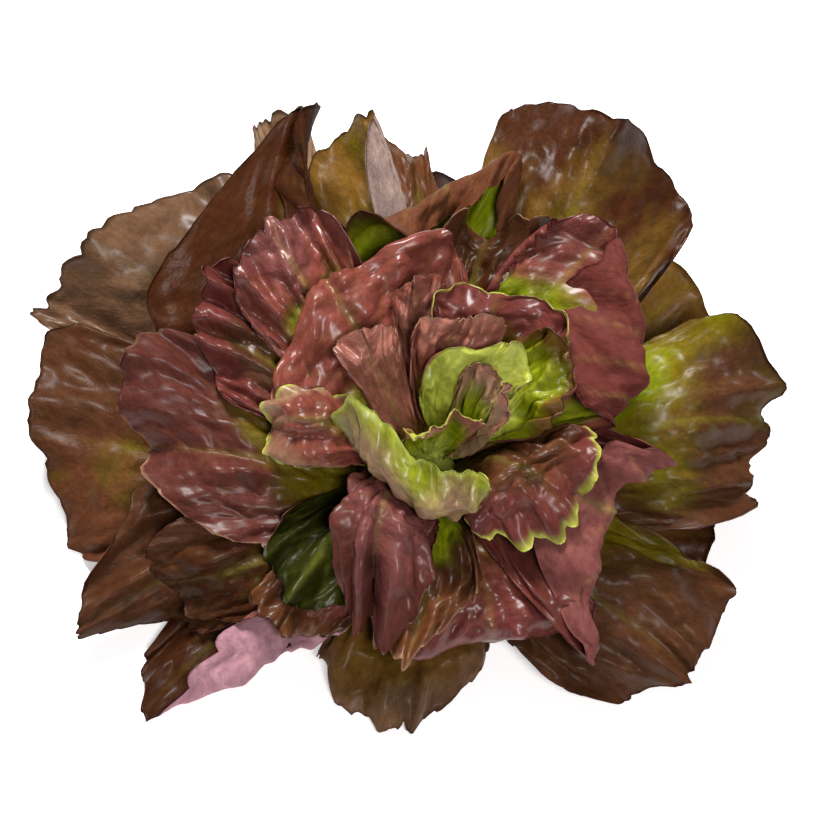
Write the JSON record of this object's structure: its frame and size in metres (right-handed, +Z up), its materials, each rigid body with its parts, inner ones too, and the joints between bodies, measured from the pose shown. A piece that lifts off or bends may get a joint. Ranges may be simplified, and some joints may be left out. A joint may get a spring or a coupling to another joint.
{
  "type": "butterhead lettuce",
  "caption": "Loose head of red-bronze butterhead lettuce: ruffled leaves in a rosette on a short cut stem, resting on the stem's flat foot.",
  "frame": {"origin": "centre of the stem's flat cut foot, on the surface it rests on", "axes": "+Z up along the stem, +X to the right and -Y towards the front, as the head is usually looked at"},
  "size_m": [0.2962, 0.245, 0.1112],
  "materials": {
    "outer_leaf": "satin living leaf, bronze-brown over olive green, duller mauve underside",
    "middle_leaf": "glossy puckered leaf, red-purple, matte mauve underside",
    "heart_leaf": "glossy young leaf, lime green flushed with red",
    "stem": "moist pale green-white stem flesh"
  },
  "bodies": {
    "root": {"outer_leaf_01": "outer_leaf", "outer_leaf_02": "outer_leaf", "outer_leaf_03": "outer_leaf", "outer_leaf_04": "outer_leaf", "outer_leaf_05": "outer_leaf", "outer_leaf_06": "outer_leaf", "outer_leaf_07": "outer_leaf", "outer_leaf_08": "outer_leaf", "outer_leaf_09": "outer_leaf", "outer_leaf_10": "outer_leaf", "outer_leaf_11": "outer_leaf", "outer_leaf_12": "outer_leaf", "outer_leaf_13": "outer_leaf", "outer_leaf_14": "outer_leaf", "outer_leaf_15": "outer_leaf", "outer_leaf_16": "outer_leaf", "outer_leaf_17": "outer_leaf", "outer_leaf_18": "outer_leaf", "outer_leaf_19": "outer_leaf", "outer_leaf_20": "outer_leaf", "middle_leaf_01": "middle_leaf", "middle_leaf_02": "middle_leaf", "middle_leaf_03": "middle_leaf", "middle_leaf_04": "middle_leaf", "middle_leaf_05": "middle_leaf", "middle_leaf_06": "middle_leaf", "middle_leaf_07": "middle_leaf", "middle_leaf_08": "middle_leaf", "middle_leaf_09": "middle_leaf", "middle_leaf_10": "middle_leaf", "middle_leaf_11": "middle_leaf", "middle_leaf_12": "middle_leaf", "middle_leaf_13": "middle_leaf", "middle_leaf_14": "middle_leaf", "heart_leaf_01": "heart_leaf", "heart_leaf_02": "heart_leaf", "heart_leaf_03": "heart_leaf", "heart_leaf_04": "heart_leaf", "heart_leaf_05": "heart_leaf", "heart_leaf_06": "heart_leaf", "heart_leaf_07": "heart_leaf", "heart_leaf_08": "heart_leaf", "heart_leaf_09": "heart_leaf", "heart_leaf_10": "heart_leaf", "stem": "stem"}
  },
  "joints": []
}
